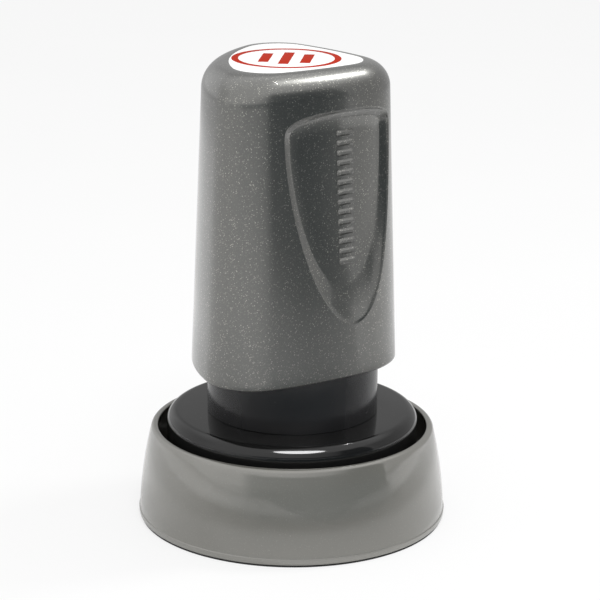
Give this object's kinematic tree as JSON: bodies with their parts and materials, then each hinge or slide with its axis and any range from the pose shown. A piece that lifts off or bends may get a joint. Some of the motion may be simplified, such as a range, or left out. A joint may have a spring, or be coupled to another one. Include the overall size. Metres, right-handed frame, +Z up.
{
  "type": "pre-inked stamp",
  "caption": "Round pre-inked hand stamp standing in an open dust cap, with a sprung handle of rounded triangular section, finger recesses and a label on top.",
  "frame": {"origin": "on the desk under the centre of the dust cap", "axes": "+Z up along the stamp's axis; +X towards the handle's blunt nose; the handle mirrors in the XZ plane"},
  "size_m": [0.055, 0.055, 0.0828],
  "materials": {
    "handle_grey": "gloss grey with fine pale flake",
    "cap_grey": "satin warm grey",
    "gloss_black": "gloss black",
    "core_black": "matte black",
    "rubber_black": "matte",
    "rubber_grey": "matte",
    "steel": "zinc plated",
    "bush_brass": "turned",
    "felt_red": "inked felt",
    "die_red": "inked microporous rubber",
    "bezel_metal": "satin",
    "label_white": "printed film"
  },
  "bodies": {
    "cap": {"base_cap": "cap_grey", "foot_ring": "rubber_black", "cap_seal_ring": "rubber_grey"},
    "skirt": {"skirt_frame": "gloss_black", "neck_sleeve": "gloss_black", "neck_screws": "steel", "guide_bush": "bush_brass", "spring_washer": "steel", "return_spring": "steel"},
    "handle": {"handle_shell": "handle_grey", "index_label": "label_white", "core_plate": "core_black", "core_sleeve": "core_black", "core_screws": "steel", "plunger_stem": "steel", "stem_washer": "steel", "stem_nut": "steel", "spring_cup": "core_black", "die_holder": "core_black", "holder_screw": "steel", "bumper_ring": "rubber_grey", "ink_pad": "felt_red", "stamp_die": "die_red", "die_bezel": "bezel_metal"}
  },
  "joints": [
    {"name": "lift_out", "type": "slide", "parent": "cap", "child": "skirt", "axis": [0, 0, 1], "range_m": [0, 0.04]},
    {"name": "handle_press", "type": "slide", "parent": "skirt", "child": "handle", "axis": [0, 0, -1], "range_m": [0, 0.0035], "stiffness_N_per_m": 1500, "springref_m": -0.005, "deforming": ["return_spring"]}
  ]
}
